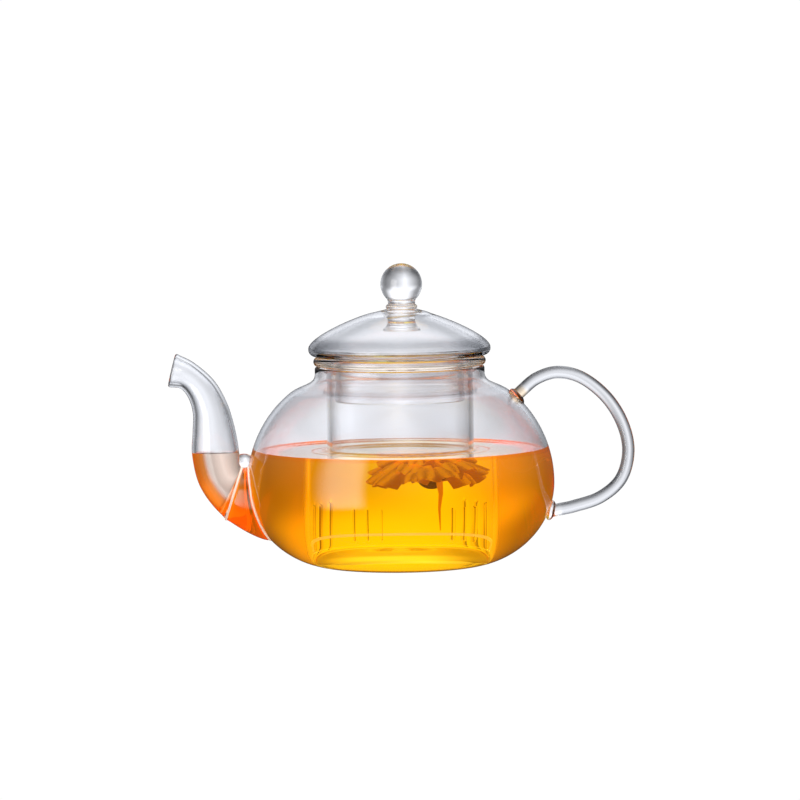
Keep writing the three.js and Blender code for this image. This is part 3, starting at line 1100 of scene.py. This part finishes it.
def make_world():
    """White to the camera, and to light that has come through glass a bright field with darker sides."""
    world = bpy.data.worlds.new("studio")
    bpy.context.scene.world = world
    world.use_nodes = True
    tree = world.node_tree
    nodes, links = tree.nodes, tree.links
    nodes.clear()
    f = Formula(tree)

    direction = nodes.new("ShaderNodeTexCoord").outputs["Generated"]
    split = nodes.new("ShaderNodeSeparateXYZ")
    links.new(direction, split.inputs[0])
    x, y, z = split.outputs
    height = f("MULTIPLY", f("ARCSINE", z), 180 / math.pi)
    turn = f.step(height, 2, 14, math.radians(FIELD_TURN), math.radians(HIGH_TURN))
    quarter = f("MULTIPLY", f("ADD", f("ARCTAN2", x, y), turn), 4)
    aside = f("MULTIPLY", f("ARCCOSINE", f("COSINE", quarter)), 45 / math.pi)

    # At the height of the pot the bright field is narrow, and it widens above it.
    fall = f("POWER", f("DIVIDE", aside, FIELD_WIDTH), 1.1)
    narrow = f("ADD", f("MULTIPLY", f("EXPONENT", f("MULTIPLY", fall, -1)), FIELD_STRENGTH), 0.05)
    high_strength = f.step(height, 0, 12, FIELD_STRENGTH, HIGH_STRENGTH)
    wide = f("MULTIPLY", f.step(aside, 11, 40, 1, HIGH_SIDE), high_strength)
    up = f.step(height, -3, 8)
    field = f("ADD", f("MULTIPLY", narrow, f("SUBTRACT", 1, up)), f("MULTIPLY", wide, up))
    # The table is bright towards the backdrop and close under the pot, and dark between.
    table = f("ADD", f.step(height, -34, -9, TABLE_DARK, 1), f.step(height, -64, -44, TABLE_UNDER, 0))
    band = f("MULTIPLY", f.step(height, 29, 34), f.step(height, 38, 44, 1, 0))
    through = f("MULTIPLY", f("MULTIPLY", field, table), f("SUBTRACT", 1, f("MULTIPLY", band, HIGH_DIP)))

    ambient = f.step(height, -10, 30, GLOSS_LOW, GLOSS_HIGH)
    mirrored = f("ADD", ambient, f.step(height, 40, 60, 0, GLOSS_OVERHEAD))

    path = nodes.new("ShaderNodeLightPath")
    passed = path.outputs["Is Transmission Ray"]
    strength = f("ADD", f("MULTIPLY", through, passed), f("MULTIPLY", mirrored, f("SUBTRACT", 1, passed)))
    studio = nodes.new("ShaderNodeBackground")
    studio.inputs["Color"].default_value = (*STUDIO_TINT, 1)
    links.new(strength, studio.inputs["Strength"])
    plain = nodes.new("ShaderNodeBackground")
    plain.inputs["Color"].default_value = (1, 1, 1, 1)
    plain.inputs["Strength"].default_value = WHITE
    mix = nodes.new("ShaderNodeMixShader")
    links.new(path.outputs["Is Camera Ray"], mix.inputs[0])
    links.new(studio.outputs[0], mix.inputs[1])
    links.new(plain.outputs[0], mix.inputs[2])
    out = nodes.new("ShaderNodeOutputWorld")
    links.new(mix.outputs[0], out.inputs["Surface"])


def make_softbox(name, azimuth, height, distance, size, strength):
    """A glowing screen with soft edges that shows only mirrored. Azimuth runs to the camera's left."""
    a, e = math.radians(azimuth), math.radians(height)
    out = Vector((-math.sin(a) * math.cos(e), -math.cos(a) * math.cos(e), math.sin(e)))
    bpy.ops.mesh.primitive_plane_add(size=1, location=Vector((0, 0, 0.05)) + out * distance)
    screen = bpy.context.object
    screen.name = name
    screen.scale = (*size, 1)
    screen.rotation_euler = (-out).to_track_quat("-Z", "Y").to_euler()
    material = bpy.data.materials.new(name)
    material.use_nodes = True
    tree = material.node_tree
    tree.nodes.clear()
    f = Formula(tree)
    place = tree.nodes.new("ShaderNodeTexCoord")
    split = tree.nodes.new("ShaderNodeSeparateXYZ")
    tree.links.new(place.outputs["Generated"], split.inputs[0])
    across, up, _ = split.outputs
    sides = f("MULTIPLY", f.step(across, 0, 0.45), f.step(across, 0.75, 1, 1, 0))
    ends = f("MULTIPLY", f.step(up, 0, 0.2), f.step(up, 0.8, 1, 1, 0))
    glow = tree.nodes.new("ShaderNodeEmission")
    glow.inputs["Color"].default_value = (1, 0.97, 0.95, 1)
    tree.links.new(f("MULTIPLY", f("MULTIPLY", sides, ends), strength), glow.inputs["Strength"])
    output = tree.nodes.new("ShaderNodeOutputMaterial")
    tree.links.new(glow.outputs[0], output.inputs["Surface"])
    screen.data.materials.append(material)
    screen.visible_camera = False
    screen.visible_transmission = False
    screen.visible_diffuse = False
    screen.visible_shadow = False


def make_camera():
    """A long lens a little above the rim, turned slightly so that the handle's side sits higher."""
    distance, elevation, roll = 2.5, 4.2, 0.7
    frame_width = 0.3648
    target = Vector((0, 0, 0.0757))
    e = math.radians(elevation)
    back = Vector((0, -math.cos(e), math.sin(e)))
    data = bpy.data.cameras.new("camera")
    data.sensor_width = 36
    data.lens = 36 * distance / frame_width
    data.clip_end = 20
    camera = bpy.data.objects.new("camera", data)
    bpy.context.scene.collection.objects.link(camera)
    camera.location = target + back * distance
    camera.rotation_mode = "QUATERNION"
    turn = (-back).to_track_quat("-Z", "Y")
    camera.rotation_quaternion = turn @ Quaternion((0, 0, 1), math.radians(-roll))
    bpy.context.scene.camera = camera


def set_look():
    """Plain colours, and enough bounces for light to pass through every wall."""
    scene = bpy.context.scene
    scene.view_settings.view_transform = "Standard"
    scene.cycles.max_bounces = 40
    scene.cycles.transmission_bounces = 40
    scene.cycles.glossy_bounces = 16
    scene.cycles.transparent_max_bounces = 40


# ---------------------------------------------------------------- painted shade, reflections and glow, by place


WELDS_AT = ((54.5, 78), (69.2, 24.4))  # the handle's two welds, x and z
HANDLE_FROM = 69.5  # glass beyond this x counts as the handle's


def near_weld(p, start, end):
    return 1 - smooth_step(min(math.dist((p[0], p[2]), at) for at in WELDS_AT), start, end)


def in_neck(p):
    return p[2] > 80 and math.hypot(p[0], p[1]) < 45


def is_backed(p, n):
    """How far the painted edge shade is left off the glass: in front of tea, at the handle's welds and in the
    neck.
    """
    before_tea = p[2] < TEA_LEVEL and p[0] < HANDLE_FROM
    return max(before_tea, near_weld(p, 3, 5), 0.6 * in_neck(p))


def is_amber_reflection(p, n):
    """The handle's upper weld gets a painted reflection of the tea's amber."""
    return near_weld(p, 2, 4.5) * (p[2] > TEA_LEVEL)


def how_thick(p, n):
    """Solid glass in the handle and the bridge, and the spout's wall a little; these get a darker painted
    shade that reaches further in.
    """
    in_handle = p[0] > HANDLE_FROM or p[0] > 56 and p[2] > 79
    in_bridge = math.dist((p[0], p[2]), BRIDGE_PLACE) < 5.5
    in_spout = p[0] < -70 and p[2] > TEA_LEVEL
    return max(in_handle, in_bridge, 0.2 * in_spout)


def at_flange(p, n):
    """The lower half of the flange's rounded edge, which gets a painted reflection of the tea's amber."""
    return flange_low[2] - 0.1 < p[2] < flange_low[2] + 2.2 and math.hypot(p[0], p[1]) > 36


# The infuser's foot, which under the tea gets a painted glow.
def in_foot(p, n):
    return p[2] < FLOOR_TOP + 0.1


# The lid's edge, where the glass gets the darker painted shade of thick faces.
def near_lid_edge(p, n):
    return smooth_step(math.hypot(p[0], p[1]), 34, 39)


# ---------------------------------------------------------------- the whole


make_camera()
make_stage()
make_world()
make_softbox("left_softbox", 46, 4, 0.9, (0.78, 1.05), 5)
set_look()

pot = make_pot()
infuser = make_infuser()
lid = make_lid()
tea = outer_tea()
infuser_tea = inner_tea()
column = spout_tea("spout_tea", SPOUT_JOINT + 0.02, 5.5)
cone_tea = spout_tea("cone_tea", 0.4, SPOUT_JOINT - 0.02)
mark_wet(pot, (tea, column, cone_tea))
mark(pot, "backed", is_backed)
mark(pot, "amber_reflection", is_amber_reflection)
mark(pot, "thick", how_thick)
mark(infuser, "amber_reflection", at_flange)
mark(infuser, "foot", in_foot)
# The lid's edge gets a darker painted shade.
mark(lid, "thick", near_lid_edge)
welds = [cone_weld(), tube_weld()]
foot_weld = ring_weld("foot_weld", FOOT_WELD_RADIUS, FOOT_WELD_HEIGHT, FOOT_WELD_HALF)
petals = make_petals()
calyx = make_calyx()
strand = make_strand()


def finish_piece(piece, body, material, nodes=()):
    """Gives a piece its material, hangs it on its body, and hides the CAD nodes it stands for."""
    piece.data.materials.clear()
    piece.data.materials.append(material)
    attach(piece, body)
    if nodes:
        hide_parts(*nodes)


finish_piece(pot, "pot", pot_glass_material(),
             ["pot_bowl", "spout_cone", "spout_tube", "spout_bridge",
              "handle_tube", "handle_upper_weld", "handle_lower_weld"])
for weld in welds:
    finish_piece(weld, "pot", weld_material())
# The foot weld's painted glow stands in for a bright line of reflected light round the infuser.
finish_piece(foot_weld, "infuser", weld_material())
finish_piece(infuser, "infuser", infuser_glass_material(),
             ["infuser_flange", "infuser_tube", "infuser_floor"])
finish_piece(lid, "lid", glass_material("lid_glass")[0],
             ["lid_dome", "lid_skirt", "knob_collar", "lid_knob", "knob_stub"])
finish_piece(tea, "pot", tea_material("tea", (1, 0.83, 0), 60, 2.2))
finish_piece(infuser_tea, "pot", tea_material("infuser_tea", (1, 0.99, 0), 60, 0.8))
# The spout's tea is paler and greyer than the bowl's: a painted reflection of the softbox, with a painted
# glow.
finish_piece(column, "pot", tea_material("spout_tea", (0.83, 0.64, 0.5), 60, 1.0))
# The cone's tea has a strong painted glow.
finish_piece(cone_tea, "pot", tea_material("cone_tea", (1, 0.74, 0), 240, 7.0, (1, 0.7, 0.01)))
petal_look = flower_material("petals", (0.27, 0.08, 0.001), (0.9, 0.47, 0.004), 0.75, toned=True)
finish_piece(petals, "infuser", petal_look)
finish_piece(calyx, "infuser", flower_material("calyx", (0.03, 0.01, 0.001), (0.13, 0.045, 0.002), 0.1))
finish_piece(strand, "infuser", flower_material("strand", (0.5, 0.14, 0.004), (0.8, 0.36, 0.01), 0.5))
